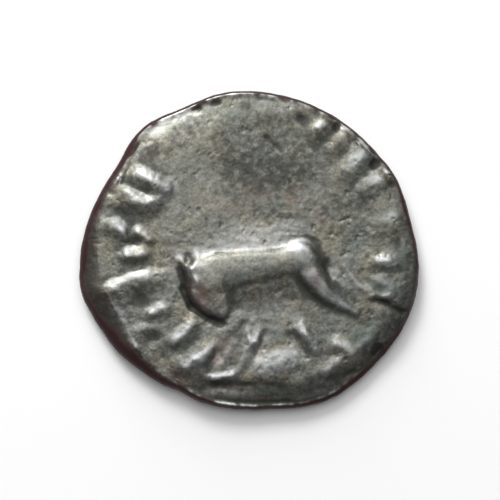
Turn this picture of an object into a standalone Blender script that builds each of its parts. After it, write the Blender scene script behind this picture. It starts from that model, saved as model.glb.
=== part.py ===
"""Ancient struck silver coin, lying on its back face, with a worn four-legged beast on its upper face.

Metres, +Z up. The origin is the middle of the coin's outline on the surface that it lies on, +X runs to the
right of the struck picture and +Y to its top. The coin is one solid: a hammered flan with an uneven outline,
two faces in low relief and a rounded edge, which is wide and sloping on the left.
"""

import math

import bmesh
import bpy
import numpy as np

MM = 0.001

# Flan
FLAN_DIAMETER = 18.6 * MM
FACE_LEVEL = 1.50 * MM
DOME_DROP = 0.16 * MM
OUTLINE_ROUNDING = 4

# Outline of the flan, as (angle in degrees, share of the half diameter)
OUTLINE = (
    (0, 0.992), (10, 0.965), (28, 0.967), (36, 0.947), (48, 0.940), (62, 0.935), (80, 0.934), (94, 0.943),
    (104, 0.940), (113, 0.926), (120, 0.933), (128, 0.959), (136, 0.959), (144, 0.927), (152, 0.926),
    (160, 0.943), (172, 0.973), (184, 1.002), (194, 1.030), (200, 1.009), (208, 0.992), (220, 0.979),
    (228, 0.955), (236, 0.948), (243, 0.924), (252, 0.943), (268, 0.939), (279, 0.945), (288, 0.975),
    (300, 1.004), (312, 0.999), (322, 1.006), (332, 1.016), (344, 1.021), (353, 1.007),
)

# Edge: how far each face stops short of the outline, and where the girdle runs between their rims
EDGE_INSET = 0.20 * MM
EDGE_SLOPE_WIDTH = 1.05 * MM
EDGE_SLOPE_ANGLE = 200
EDGE_SLOPE_SPREAD = 30
EDGE_STEP_WIDTH = 0.20 * MM
EDGE_STEP_ANGLE = 152
EDGE_STEP_SPREAD = 12
EDGE_LEDGE_WIDTH = 0.16 * MM
EDGE_LEDGE_ANGLE = 318
EDGE_LEDGE_SPREAD = 26
BACK_EDGE_INSET = 0.32 * MM
GIRDLE_SHARE = 0.50
GIRDLE_SHARE_AT_SLOPE = 0.26

# Beast: each limb is a softness and a chain of (x, y, half width, height), in shares of the beast's length
# and relief, measured from the middle of its back. Softness is the share of the half width that slopes.
BEAST_LENGTH = 7.60 * MM
BEAST_BACK = (0.01 * MM, 0.12 * MM)
BEAST_RELIEF = 0.36 * MM
WORN_TOP = 0.60 * MM
LIMBS = {
    "trunk": (0.74, (
        (-0.265, -0.195, 0.225, 0.98), (0.000, -0.142, 0.184, 1.02), (0.253, -0.104, 0.142, 1.00),
        (0.361, -0.078, 0.156, 1.28), (0.448, -0.207, 0.126, 1.00), (0.542, -0.316, 0.096, 0.76),
        (0.650, -0.402, 0.068, 0.48), (0.770, -0.490, 0.050, 0.20),
    )),
    "chest": (0.88, (
        (-0.361, -0.185, 0.160, 0.84), (-0.289, -0.290, 0.232, 1.00), (-0.253, -0.375, 0.180, 0.98),
        (-0.202, -0.446, 0.105, 0.80),
    )),
    "near_foreleg": (1.00, (
        (-0.110, -0.500, 0.120, 0.34), (-0.170, -0.680, 0.130, 0.26), (-0.235, -0.850, 0.120, 0.18),
    )),
    "far_foreleg": (1.00, (
        (0.000, -0.660, 0.100, 0.22), (-0.040, -0.760, 0.110, 0.18), (-0.090, -0.880, 0.110, 0.12),
    )),
    "far_knee": (0.90, (
        (-0.018, -0.600, 0.050, 0.26), (0.000, -0.690, 0.055, 0.40), (0.040, -0.680, 0.060, 0.44),
        (0.066, -0.600, 0.055, 0.26),
    )),
    "far_hind_leg": (0.90, (
        (0.365, -0.560, 0.072, 0.38), (0.410, -0.640, 0.080, 0.36), (0.465, -0.730, 0.080, 0.22),
    )),
    "tail": (1.00, (
        (0.650, -0.100, 0.085, 0.08), (0.735, -0.225, 0.085, 0.12), (0.830, -0.315, 0.085, 0.13),
        (0.925, -0.368, 0.080, 0.12), (1.030, -0.335, 0.070, 0.08),
    )),
}
# Folds and grooves on and beside the limbs: (start, end, half width, height), in the same shares
FOLDS = (
    ((-0.511, -0.075), (-0.458, -0.154), 0.048, 0.33),
    ((-0.379, -0.075), (-0.414, -0.154), 0.045, 0.28),
    ((-0.414, -0.154), (-0.379, -0.266), 0.042, 0.22),
    ((-0.454, -0.068), (-0.436, -0.128), 0.040, -0.33),
    ((0.320, -0.590), (0.385, -0.625), 0.055, 0.16),
    ((-0.142, -0.641), (-0.234, -0.779), 0.060, -0.15),
    ((-0.228, -0.766), (-0.307, -0.884), 0.058, -0.18),
    ((-0.050, -0.661), (-0.116, -0.858), 0.050, -0.12),
    ((0.095, -0.625), (0.042, -0.753), 0.060, -0.20),
    ((0.049, -0.739), (-0.030, -0.897), 0.055, -0.15),
    ((0.286, -0.630), (0.395, -0.770), 0.062, -0.20),
    ((0.550, -0.111), (0.570, -0.211), 0.056, -0.24),
    ((-0.537, -0.147), (-0.530, -0.305), 0.090, -0.20),
    ((-0.530, -0.305), (-0.438, -0.450), 0.090, -0.22),
    ((-0.438, -0.450), (-0.201, -0.582), 0.090, -0.22),
    ((0.338, -0.246), (0.536, -0.417), 0.056, -0.12),
    ((0.536, -0.417), (0.772, -0.542), 0.056, -0.14),
)
APRON_WIDTH = 1.60 * MM
APRON_HEIGHT = 0.14 * MM

# Ground under the feet
GROUND_LINE_LENGTH = 1.70 * MM
GROUND_LINE_WIDTH = 0.30 * MM
GROUND_LINE_HEIGHT = 0.09 * MM
GROUND_SWELL_LENGTH = 2.50 * MM
GROUND_SWELL_WIDTH = 1.10 * MM
GROUND_SWELL_HEIGHT = 0.16 * MM

# Strokes round the border, as (angle in degrees, distance in from the flan's edge in mm, length in mm,
# lean in degrees, half width in mm)
STROKE_HEIGHT = 0.16 * MM
STROKE_SHADE_SIDE = 2.0
STROKES = (
    (144, 2.05, 1.90, 9, 0.42), (154, 1.75, 2.40, 3, 0.40), (160, 0.85, 1.00, 20, 0.22),
    (170, 2.25, 3.00, -2, 0.38), (180, 2.60, 1.20, -14, 0.36), (194, 2.60, 3.20, 6, 0.38),
    (210, 3.05, 1.40, -14, 0.32), (215, 2.00, 1.40, 0, 0.32), (230, 3.20, 2.30, -8, 0.40),
    (242, 2.05, 2.30, -26, 0.55), (221, 1.55, 0.80, 30, 0.32), (235, 1.35, 0.80, 10, 0.30),
    (320, 1.95, 1.70, 15, 0.42), (307, 1.95, 1.40, -80, 0.38), (343, 1.75, 1.50, -45, 0.44),
    (356, 1.50, 1.90, -8, 0.44), (13, 1.30, 2.00, 12, 0.46), (29, 1.15, 2.10, 2, 0.40),
    (24, 0.55, 0.80, 20, 0.24), (42, 1.05, 2.10, 12, 0.46), (51, 0.95, 1.80, 4, 0.38),
    (62, 0.95, 1.30, -8, 0.46), (77, 0.85, 1.20, 8, 0.40), (112, 0.75, 1.10, 20, 0.40),
)

# Rim of the struck face: where it falls away to the edge, as (angle, half spread, inner share of the radius,
# drop in mm)
RIM_FALLS = (
    (127, 24, 0.76, 0.34),
    (280, 34, 0.84, 0.46),
    (316, 24, 0.86, 0.40),
    (352, 22, 0.90, 0.16),
    (55, 30, 0.90, 0.16),
)
RIM_LIP_ANGLE = 283
RIM_LIP_SPREAD = 34
RIM_LIP_HEIGHT = 0.10 * MM
CRACK_START = (6.95 * MM, -2.65 * MM)
CRACK_END = (9.30 * MM, -3.60 * MM)
CRACK_WIDTH = 0.42 * MM
CRACK_DEPTH = 0.15 * MM

# Pits in the struck face, as (x in mm, y in mm, radius in mm, depth in mm)
PITS = (
    (-3.00, 7.75, 0.50, 0.10), (-1.90, 8.05, 0.40, 0.08), (0.85, 6.10, 0.42, 0.07), (1.45, 5.80, 0.38, 0.06),
    (4.75, 6.70, 0.42, 0.08), (6.90, -5.35, 0.75, 0.16), (-6.35, -0.65, 0.50, 0.08),
    (-6.05, -2.65, 0.50, 0.08),
)

# Back face
BACK_GAP = 0.16 * MM
BACK_BOSS = (6.20 * MM, 7.60 * MM)
BACK_BOSS_HEIGHT = 0.30 * MM
BACK_STROKES = 22
BACK_STROKE_LENGTH = 2.20 * MM
BACK_STROKE_HALF_WIDTH = 0.62 * MM
BACK_STROKE_HEIGHT = 0.24 * MM
BACK_STROKE_INSET = 1.90 * MM

# Mesh: cells across a face and down each half of the edge, and the triangles kept of the finished solid
FACE_CELLS = 108
EDGE_CELLS = 5
KEPT_TRIANGLES = 8800
SILVER = (0.40, 0.39, 0.36, 1.0)


def smooth_step(value):
    """0 below 0 and 1 above 1, with level ends."""
    held = np.clip(value, 0.0, 1.0)
    return held * held * (3.0 - 2.0 * held)


def angle_between(angle, centre):
    """Degrees from centre to each angle, from -180 to 180."""
    return (np.degrees(angle) - centre + 180.0) % 360.0 - 180.0


def bell(angle, centre, spread):
    """1 at an angle of the outline and fading over spread degrees to each side."""
    return np.exp(-((angle_between(angle, centre) / spread) ** 2))


def flan_radius(angle):
    """Distance from the middle to the edge: straight runs between the outline's points, rounded by a bell."""
    samples = np.radians(np.arange(360.0))
    points = np.radians([point[0] for point in OUTLINE])
    shares = np.array([point[1] for point in OUTLINE])
    straight = np.interp(samples, points, shares, period=2 * math.pi)
    weights = bell(samples, 0, OUTLINE_ROUNDING)
    spectrum = np.fft.fft(straight) * np.fft.fft(weights / weights.sum())
    rounded = np.real(np.fft.ifft(spectrum))
    return 0.5 * FLAN_DIAMETER * np.interp(angle, samples, rounded, period=2 * math.pi)


def edge_inset(angle):
    """How far the struck face stops short of the outline: wide on the left, where the edge slopes."""
    slope = EDGE_SLOPE_WIDTH * bell(angle, EDGE_SLOPE_ANGLE, EDGE_SLOPE_SPREAD)
    step = EDGE_STEP_WIDTH * bell(angle, EDGE_STEP_ANGLE, EDGE_STEP_SPREAD)
    ledge = EDGE_LEDGE_WIDTH * bell(angle, EDGE_LEDGE_ANGLE, EDGE_LEDGE_SPREAD)
    return EDGE_INSET + slope + step + ledge


def back_inset(angle):
    """How far the back face stops short of the outline: the same all round."""
    return np.full_like(angle, BACK_EDGE_INSET)


def nearest_on(x, y, start, end):
    """Distance to a straight stretch, and the share of its length at which the nearest point lies."""
    along = np.subtract(end[:2], start[:2])
    share = ((x - start[0]) * along[0] + (y - start[1]) * along[1]) / (along @ along)
    share = np.clip(share, 0.0, 1.0)
    return np.hypot(x - start[0] - share * along[0], y - start[1] - share * along[1]), share


def ridge(x, y, start, end, start_width, end_width):
    """A rounded ridge between two points: 1 on its line and 0 from its half width outwards."""
    distance, share = nearest_on(x, y, start, end)
    return smooth_step(1.0 - distance / (start_width + share * (end_width - start_width)))


def bolster(x, y, softness, chain):
    """A rounded bolster along a chain of points, partly a dome and partly a steep rise at its border."""
    heights = []
    for start, end in zip(chain[:-1], chain[1:]):
        distance, share = nearest_on(x, y, start, end)
        off = np.clip(distance / (start[2] + share * (end[2] - start[2])), 0.0, 1.0)
        rise = smooth_step((1.0 - off) / softness) * (0.42 + 0.58 * (1.0 - off * off))
        heights.append((start[3] + share * (end[3] - start[3])) * rise)
    return np.maximum.reduce(heights)


def beast_point(point):
    """A point of the beast, in shares of its length, as a place on the coin."""
    return (BEAST_BACK[0] + point[0] * BEAST_LENGTH, BEAST_BACK[1] + point[1] * BEAST_LENGTH)


def joined(heights):
    """Ridges melted into each other: the fourth root of the sum of their fourth powers."""
    return sum(height**4 for height in heights) ** 0.25


def worn(height):
    """Height with its top rubbed round, so that it nears WORN_TOP and never passes it."""
    return height / (1.0 + (height / WORN_TOP) ** 4) ** 0.25


def beast(x, y):
    """Relief of the whole beast, its limbs melted together."""
    share_x = (x - BEAST_BACK[0]) / BEAST_LENGTH
    share_y = (y - BEAST_BACK[1]) / BEAST_LENGTH
    limbs = [bolster(share_x, share_y, softness, chain) for softness, chain in LIMBS.values()]
    return BEAST_RELIEF * joined(limbs)


def folds(x, y):
    """The low folds and the grooves on and beside the limbs, which add up."""
    return sum(
        BEAST_RELIEF * height * ridge(
            x, y, beast_point(start), beast_point(end), half_width * BEAST_LENGTH, half_width * BEAST_LENGTH
        )
        for start, end, half_width, height in FOLDS
    )


def apron(x, y):
    """The field's soft rise towards the beast's back and flank."""
    start, _, end = LIMBS["trunk"][1][:3]
    widths = (start[2] * BEAST_LENGTH + APRON_WIDTH, end[2] * BEAST_LENGTH + APRON_WIDTH)
    return APRON_HEIGHT * ridge(x, y, beast_point(start), beast_point(end), *widths)


def ground(x, y):
    """The ground line left of the feet and the low swell between them, level with the foreleg's end."""
    foot = beast_point(LIMBS["near_foreleg"][1][-1])
    line_start = (foot[0] - 0.5 * GROUND_LINE_LENGTH, foot[1] - GROUND_LINE_WIDTH)
    line_end = (foot[0] + 0.5 * GROUND_LINE_LENGTH, foot[1])
    line = ridge(x, y, line_start, line_end, GROUND_LINE_WIDTH, GROUND_LINE_WIDTH)
    far_foot = beast_point(LIMBS["far_foreleg"][1][-1])
    swell_start = (far_foot[0] + 1.6 * GROUND_SWELL_WIDTH, far_foot[1] + 0.4 * GROUND_SWELL_WIDTH)
    swell_end = (swell_start[0] + 0.85 * GROUND_SWELL_LENGTH, swell_start[1] + 0.4 * GROUND_SWELL_LENGTH)
    swell = ridge(x, y, swell_start, swell_end, GROUND_SWELL_WIDTH, GROUND_SWELL_WIDTH)
    return GROUND_LINE_HEIGHT * line + GROUND_SWELL_HEIGHT * swell


def stroke(x, y, angle, inset, length, lean, half_width):
    """A short ridge pointing outwards, steep on its upper side and long and soft on its lower side."""
    turn = math.radians(angle)
    middle = float(flan_radius(turn)) - inset
    direction = turn + math.radians(lean)
    if math.cos(direction) < 0:
        direction += math.pi
    off_x = x - middle * math.cos(turn)
    off_y = y - middle * math.sin(turn)
    across = off_y * math.cos(direction) - off_x * math.sin(direction)
    along = off_x * math.cos(direction) + off_y * math.sin(direction)
    side_width = np.where(across > 0, half_width, half_width * STROKE_SHADE_SIDE)
    past_end = np.abs(along) / (0.5 * length)
    return smooth_step(1.0 - (np.abs(across / side_width) ** 2.5 + past_end**2.5) ** 0.4)


def strokes(x, y):
    """The worn border strokes, which stand where an inscription would and spell nothing."""
    ridges = [
        STROKE_HEIGHT * stroke(x, y, angle, inset * MM, length * MM, lean, half_width * MM)
        for angle, inset, length, lean, half_width in STROKES
    ]
    return joined(ridges)


def rim_falls(angle, share):
    """How far the struck face has fallen, at a share of the radius, in each sector where it runs down."""
    total = 0.0
    for centre, spread, inner, drop in RIM_FALLS:
        total = total + drop * MM * bell(angle, centre, spread) * smooth_step((share - inner) / (1.0 - inner))
    lip = RIM_LIP_HEIGHT * bell(angle, RIM_LIP_ANGLE, RIM_LIP_SPREAD) * smooth_step((share - 0.955) / 0.02)
    return total - lip


def crack(x, y):
    """The short split that runs in from the right edge, with the flan a little lower below it."""
    return CRACK_DEPTH * ridge(x, y, CRACK_START, CRACK_END, 0.5 * CRACK_WIDTH, CRACK_WIDTH)


def pits(x, y):
    """Shallow round pits in the metal."""
    return sum(
        depth * MM * smooth_step(1.0 - np.hypot(x - px * MM, y - py * MM) / (radius * MM))
        for px, py, radius, depth in PITS
    )


def face_height(x, y):
    """Height of the struck face over the table: a low dome with the worn relief on it."""
    angle = np.arctan2(y, x)
    share = np.hypot(x, y) / flan_radius(angle)
    field = FACE_LEVEL - DOME_DROP * share**3 - rim_falls(angle, share)
    relief = worn(joined([beast(x, y), strokes(x, y)])) + folds(x, y) + apron(x, y) + ground(x, y)
    fade = 1.0 - 0.6 * smooth_step((share - 0.93) / 0.07)
    return field + fade * relief - crack(x, y) - pits(x, y)


def back_height(x, y):
    """Height of the back face over the table: a plain border of strokes and a boss, both worn flat at 0."""
    angle = np.arctan2(y, x)
    radius = np.hypot(x, y)
    share = radius / flan_radius(angle)
    middle = flan_radius(angle) - BACK_STROKE_INSET
    step = 2.0 * math.pi / BACK_STROKES
    off_stroke = (angle + 0.5 * step) % step - 0.5 * step
    across = off_stroke * radius / BACK_STROKE_HALF_WIDTH
    along = (radius - middle) / (0.5 * BACK_STROKE_LENGTH)
    border = BACK_STROKE_HEIGHT * smooth_step(1.0 - np.hypot(across, along))
    off_boss = np.hypot(2.0 * x / BACK_BOSS[0], 2.0 * y / BACK_BOSS[1])
    boss = BACK_BOSS_HEIGHT * np.clip(1.0 - off_boss**2, 0.0, 1.0)
    rise = DOME_DROP * smooth_step((share - 0.85) / 0.15)
    return np.maximum(BACK_GAP + rise - border - boss, 0.0)


def disc_point(u, v):
    """Points of a square from -1 to 1 spread over the unit disc, with its sides on the circle."""
    return u * np.sqrt(1.0 - 0.5 * v * v), v * np.sqrt(1.0 - 0.5 * u * u)


def girdle_height(angle):
    """Height of the coin's widest line, low where the edge slopes."""
    face_radius = flan_radius(angle) - edge_inset(angle)
    back_radius = flan_radius(angle) - back_inset(angle)
    face_rim = face_height(face_radius * np.cos(angle), face_radius * np.sin(angle))
    back_rim = back_height(back_radius * np.cos(angle), back_radius * np.sin(angle))
    lowered = (GIRDLE_SHARE - GIRDLE_SHARE_AT_SLOPE) * bell(angle, EDGE_SLOPE_ANGLE, EDGE_SLOPE_SPREAD)
    return back_rim + (GIRDLE_SHARE - lowered) * (face_rim - back_rim)


def place_side(u, v, height_at, inset_at):
    """Places the points of one side's square grid.

    Inside the square from -1 to 1 they lie on the face. Outside it they run down the rounded edge to the
    coin's girdle.
    """
    ring = np.maximum(np.maximum(np.abs(u), np.abs(v)), 1e-9)
    inside = np.minimum(ring, 1.0)
    disc_x, disc_y = disc_point(u / ring * inside, v / ring * inside)
    angle = np.arctan2(disc_y, disc_x)
    down = np.clip((ring - 1.0) / (EDGE_CELLS * 2.0 / FACE_CELLS), 0.0, 1.0)
    inset = inset_at(angle)
    radius = np.hypot(disc_x, disc_y) * (flan_radius(angle) - inset) + inset * np.sin(0.5 * math.pi * down)
    x = radius * np.cos(angle)
    y = radius * np.sin(angle)
    rim_radius = np.where(ring > 1.0, flan_radius(angle) - inset, radius)
    height = height_at(rim_radius * np.cos(angle), rim_radius * np.sin(angle))
    fall = 0.5 * down + 0.5 * (1.0 - np.cos(0.5 * math.pi * down))
    return x, y, height + (girdle_height(angle) - height) * fall


def add_side(mesh_edit, height_at, inset_at, faces_up):
    """Adds one side of the coin as a square grid primitive, laid over the face and half of the edge."""
    cells = FACE_CELLS + 2 * EDGE_CELLS
    made = bmesh.ops.create_grid(mesh_edit, x_segments=cells, y_segments=cells, size=cells / FACE_CELLS)
    flat = np.array([vertex.co[:2] for vertex in made["verts"]], dtype=float)
    places = np.transpose(place_side(flat[:, 0], flat[:, 1], height_at, inset_at))
    for vertex, place in zip(made["verts"], places):
        vertex.co = place
    if not faces_up:
        own_faces = {face for vertex in made["verts"] for face in vertex.link_faces}
        bmesh.ops.reverse_faces(mesh_edit, faces=list(own_faces))


def outline_middle():
    """The middle of the box round the flan's outline."""
    angle = np.radians(np.arange(0.0, 360.0, 0.5))
    x = flan_radius(angle) * np.cos(angle)
    y = flan_radius(angle) * np.sin(angle)
    return 0.5 * (x.min() + x.max()), 0.5 * (y.min() + y.max())


def silver():
    """Worn, toned silver."""
    material = bpy.data.materials.new("toned_silver")
    material.use_nodes = True
    shader = material.node_tree.nodes["Principled BSDF"]
    shader.inputs["Base Color"].default_value = SILVER
    shader.inputs["Metallic"].default_value = 0.9
    shader.inputs["Roughness"].default_value = 0.45
    return material


def thinned(coin):
    """The coin's mesh with only the triangles that its relief needs."""
    coin.data.calc_loop_triangles()
    modifier = coin.modifiers.new("thin_out", "DECIMATE")
    modifier.ratio = KEPT_TRIANGLES / len(coin.data.loop_triangles)
    graph = bpy.context.evaluated_depsgraph_get()
    mesh = bpy.data.meshes.new_from_object(coin.evaluated_get(graph))
    coin.modifiers.remove(modifier)
    return mesh


def make_coin(collection):
    """The struck coin, both sides welded together at the girdle."""
    mesh = bpy.data.meshes.new("coin")
    mesh_edit = bmesh.new()
    add_side(mesh_edit, face_height, edge_inset, True)
    add_side(mesh_edit, back_height, back_inset, False)
    bmesh.ops.remove_doubles(mesh_edit, verts=mesh_edit.verts, dist=1e-7)
    middle_x, middle_y = outline_middle()
    bmesh.ops.translate(mesh_edit, verts=mesh_edit.verts, vec=(-middle_x, -middle_y, 0.0))
    bmesh.ops.triangulate(mesh_edit, faces=mesh_edit.faces)
    mesh_edit.to_mesh(mesh)
    mesh_edit.free()
    coin = bpy.data.objects.new("coin", mesh)
    collection.objects.link(coin)
    coin.data = thinned(coin)
    coin.data.materials.clear()
    coin.data.materials.append(silver())
    coin.data.shade_smooth()
    coin.data.set_sharp_from_angle(angle=math.radians(50))


def main():
    for obj in list(bpy.data.objects):
        bpy.data.objects.remove(obj)
    collection = bpy.data.collections.new("ancient_coin")
    bpy.context.scene.collection.children.link(collection)
    make_coin(collection)


main()
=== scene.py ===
"""An ancient struck silver coin at full detail: its worn relief, its toned metal and a plain stage.

Metres, +Z up. The coin lies on its back face at height 0, with the middle of its outline at the origin, +X
to the right of the struck picture and +Y to its top. Places and sizes in the lists below are in millimetres.
"""

import math

import bpy
import numpy as np
from bpy.props import FloatProperty, FloatVectorProperty, IntProperty, PointerProperty
from mathutils import Matrix, Vector


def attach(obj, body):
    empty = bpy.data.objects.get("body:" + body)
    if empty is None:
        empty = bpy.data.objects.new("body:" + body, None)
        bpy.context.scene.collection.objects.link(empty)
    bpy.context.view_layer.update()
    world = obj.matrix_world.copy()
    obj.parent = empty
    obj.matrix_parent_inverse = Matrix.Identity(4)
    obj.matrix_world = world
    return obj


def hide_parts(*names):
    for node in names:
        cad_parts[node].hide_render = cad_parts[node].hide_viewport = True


bl_info = {
    "name": "Ancient Coin",
    "version": (1, 0, 0),
    "blender": (4, 5, 0),
    "location": "3D View > Sidebar > Coin",
    "description": "Strikes a worn silver coin and sets a plain stage for it",
    "category": "Add Mesh",
}

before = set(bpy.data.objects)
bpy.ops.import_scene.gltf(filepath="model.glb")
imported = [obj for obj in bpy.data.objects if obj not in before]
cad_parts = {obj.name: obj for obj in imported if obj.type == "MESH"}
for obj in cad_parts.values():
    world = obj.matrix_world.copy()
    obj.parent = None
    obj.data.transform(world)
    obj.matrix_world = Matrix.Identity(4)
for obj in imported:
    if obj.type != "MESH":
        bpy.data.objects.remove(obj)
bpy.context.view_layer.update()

MM = 0.001

# Outline of the flan, as (angle in degrees, share of the half diameter)
OUTLINE = (
    (0, 0.992), (10, 0.965), (28, 0.967), (36, 0.947), (48, 0.940), (62, 0.935), (80, 0.934), (94, 0.943),
    (104, 0.940), (113, 0.926), (120, 0.933), (128, 0.959), (136, 0.959), (144, 0.927), (152, 0.926),
    (160, 0.943), (172, 0.973), (184, 1.002), (194, 1.030), (200, 1.009), (208, 0.992), (220, 0.979),
    (228, 0.955), (236, 0.948), (243, 0.924), (252, 0.943), (268, 0.939), (279, 0.945), (288, 0.975),
    (300, 1.004), (312, 0.999), (322, 1.006), (332, 1.016), (344, 1.021), (353, 1.007),
)
# Width of the bell that rounds the outline's corners, in degrees
OUTLINE_ROUNDING = 4

# How far both faces stop short of the outline, and how much further where the edge slopes, as (angle, half
# spread, width)
EDGE_INSET = 0.20
BACK_EDGE_INSET = 0.32
EDGE_SLOPES = ((200, 30, 1.05), (152, 12, 0.20), (318, 26, 0.16))

# Struck face: fall of the field to the rim, wander of its lines, depth of its pits, and the rim's forms by
# their start and length as shares of the radius
DOME_DROP = 0.16
LINE_WANDER = 0.06
PIT_DEPTH = 0.045
STROKE_SPREAD = 1.15
LIP_START, LIP_RISE = 0.955, 0.02
FADE_START, RIM_FADE = 0.93, 0.6

# Edge: depth of its dents, clearance inside the outline, widths over which its band and its lips' wear and
# painted highlight fade, points to each side over which the rim is evened, and a gap that no red line
# reaches
EDGE_DENT = 0.045
EDGE_CLEARANCE = 0.006
BAND_BORDER = 0.16
LIP_GLINT_WIDTH = 0.24
RIM_EVENING = 14
FAR_FROM_EDGE = 2.0

# Back face: its gap over the table, a ring of worn strokes and a boss
BACK_GAP = 0.16
BACK_EDGE_RISE = 0.16
BACK_JOIN_WIDTH = 0.16
BACK_STROKES = 22
BACK_STROKE_HALF_WIDTH = 0.62
BACK_STROKE_HALF_LENGTH = 1.10
BACK_STROKE_INSET = 1.90
BACK_STROKE_HEIGHT = 0.24
BACK_BOSS_HALF = (3.1, 3.8)
BACK_BOSS_HEIGHT = 0.30

# Beast: each limb is the profile of its left and of its right side, as (softness, share of the height left
# at the border), and a chain of (x, y, half width, height), in shares of the beast's length and relief,
# measured from the middle of its back
BEAST_LENGTH = 7.60
BEAST_BACK = (0.03, 0.12)
SOFT = ((1.00, 0.42), (1.00, 0.42))
LIMBS = (
    (((0.34, 0.26), (0.32, 0.52)), (
        (-0.265, -0.195, 0.173, 0.94), (0.000, -0.142, 0.139, 0.88), (0.205, -0.114, 0.118, 0.82),
        (0.361, -0.078, 0.140, 0.98), (0.448, -0.200, 0.100, 0.66),
    )),
    (((0.60, 0.34), (0.26, 0.66)), (
        (0.405, -0.135, 0.110, 0.70), (0.448, -0.200, 0.100, 0.92), (0.542, -0.316, 0.080, 0.76),
        (0.650, -0.402, 0.057, 0.50), (0.755, -0.466, 0.036, 0.24),
    )),
    (((0.60, 0.42), (0.30, 0.42)), (
        (-0.361, -0.185, 0.120, 0.84), (-0.289, -0.290, 0.178, 1.00), (-0.253, -0.368, 0.154, 0.98),
        (-0.205, -0.436, 0.090, 0.80),
    )),
    (SOFT, ((-0.100, -0.270, 0.270, 0.48), (0.090, -0.225, 0.275, 0.48), (0.250, -0.200, 0.240, 0.46))),
    (SOFT, ((-0.110, -0.500, 0.120, 0.34), (-0.170, -0.680, 0.130, 0.26), (-0.235, -0.850, 0.120, 0.18))),
    (SOFT, ((0.000, -0.660, 0.100, 0.22), (-0.040, -0.760, 0.110, 0.18), (-0.090, -0.880, 0.110, 0.12))),
    (SOFT, (
        (-0.018, -0.600, 0.045, 0.26), (0.000, -0.690, 0.050, 0.40), (0.040, -0.680, 0.060, 0.44),
        (0.066, -0.600, 0.050, 0.26),
    )),
    (SOFT, ((0.365, -0.560, 0.072, 0.38), (0.410, -0.640, 0.080, 0.36), (0.465, -0.730, 0.080, 0.22))),
    (SOFT, (
        (0.650, -0.100, 0.046, 0.06), (0.735, -0.225, 0.046, 0.12), (0.830, -0.315, 0.046, 0.12),
        (0.925, -0.368, 0.046, 0.12), (1.030, -0.335, 0.042, 0.08),
    )),
)

# Border strokes, as (points of the crest, width above it, width below it, height)
STROKES = (
    (((-6.07, 4.00), (-5.30, 3.66), (-4.75, 3.36)), 0.62, 0.80, 0.21),
    (((-6.62, 3.10), (-6.25, 2.72), (-5.60, 2.42), (-5.32, 2.64)), 0.50, 0.85, 0.21),
    (((-7.77, 2.78), (-6.78, 2.68)), 0.30, 0.60, 0.08),
    (((-8.15, 1.12), (-7.55, 1.18)), 0.30, 0.50, 0.06),
    (((-7.42, 1.32), (-6.98, 0.98)), 0.50, 0.75, 0.19),
    (((-6.10, 0.90), (-5.55, 0.52)), 0.42, 0.34, 0.14),
    (((-6.62, -0.36), (-6.26, -0.46), (-5.90, -0.22)), 0.50, 0.60, 0.18),
    (((-7.93, -2.26), (-7.00, -1.92), (-5.35, -1.38)), 0.48, 1.30, 0.17),
    (((-6.80, -2.12), (-5.85, -1.78)), 0.20, 0.30, 0.06),
    (((-5.40, -3.50), (-4.78, -3.18)), 0.34, 0.55, 0.12),
    (((-6.15, -4.42), (-5.35, -4.20)), 0.40, 0.80, 0.06),
    (((-6.45, -5.10), (-6.15, -5.40)), 0.30, 0.34, 0.09),
    (((-4.15, -5.02), (-3.08, -4.08)), 0.50, 0.50, 0.13),
    (((-3.45, -6.40), (-2.25, -5.55)), 0.85, 0.55, 0.17),
    (((3.50, 6.30), (4.12, 7.00)), 0.62, 0.60, 0.15),
    (((4.40, 5.50), (5.25, 6.45)), 0.55, 0.60, 0.08),
    (((5.30, 4.35), (6.20, 5.35)), 0.75, 0.75, 0.13),
    (((6.25, 3.35), (7.05, 3.80)), 0.58, 0.65, 0.14),
    (((7.55, 4.10), (7.70, 4.25)), 0.34, 0.40, 0.10),
    (((6.95, 1.35), (8.00, 1.75)), 0.62, 0.80, 0.09),
    (((7.00, -0.62), (7.72, -0.66)), 0.50, 0.65, 0.15),
    (((7.15, -1.75), (7.60, -2.20)), 0.55, 0.55, 0.11),
    (((4.75, -5.15), (5.50, -5.62)), 0.52, 0.55, 0.13),
    (((4.20, -6.60), (5.00, -5.95)), 0.55, 0.50, 0.09),
    (((0.70, 7.45), (2.20, 7.70)), 0.70, 0.70, 0.05),
)

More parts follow.
